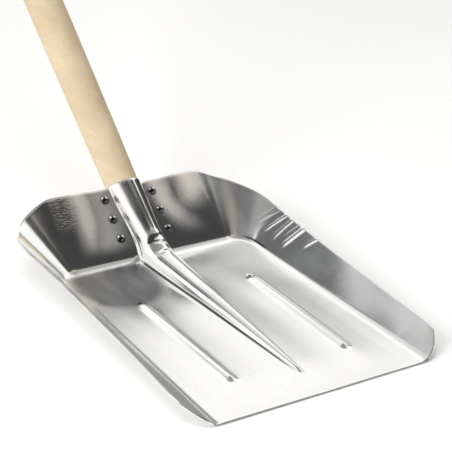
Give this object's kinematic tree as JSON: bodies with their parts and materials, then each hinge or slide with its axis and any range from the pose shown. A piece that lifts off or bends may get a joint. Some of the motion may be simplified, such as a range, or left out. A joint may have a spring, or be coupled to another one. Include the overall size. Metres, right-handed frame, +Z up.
{
  "type": "snow shovel",
  "caption": "Snow shovel with a pressed aluminium scoop, a riveted half-round socket and a straight round wooden handle.",
  "frame": {"origin": "underside of the scoop's floor, on the centre line, 20 mm behind the cutting edge", "axes": "+Y back along the floor towards the handle, +X to the right of the person holding the handle, +Z up; the floor lies flat on Z = 0"},
  "size_m": [0.307, 1.3472, 0.8279],
  "materials": {
    "blade_aluminium": "bright rolled sheet, lightly pressed",
    "plate_aluminium": "mill finish",
    "handle_wood": "pale turned hardwood, bare",
    "rivet_aluminium": "polished domes",
    "screw_steel": "zinc plated"
  },
  "bodies": {
    "root": {"blade": "blade_aluminium", "socket_back_plate": "plate_aluminium", "handle": "handle_wood", "handle_screw": "screw_steel", "rivet_1": "rivet_aluminium", "rivet_2": "rivet_aluminium", "rivet_3": "rivet_aluminium", "rivet_4": "rivet_aluminium", "rivet_5": "rivet_aluminium", "rivet_6": "rivet_aluminium"}
  },
  "joints": []
}
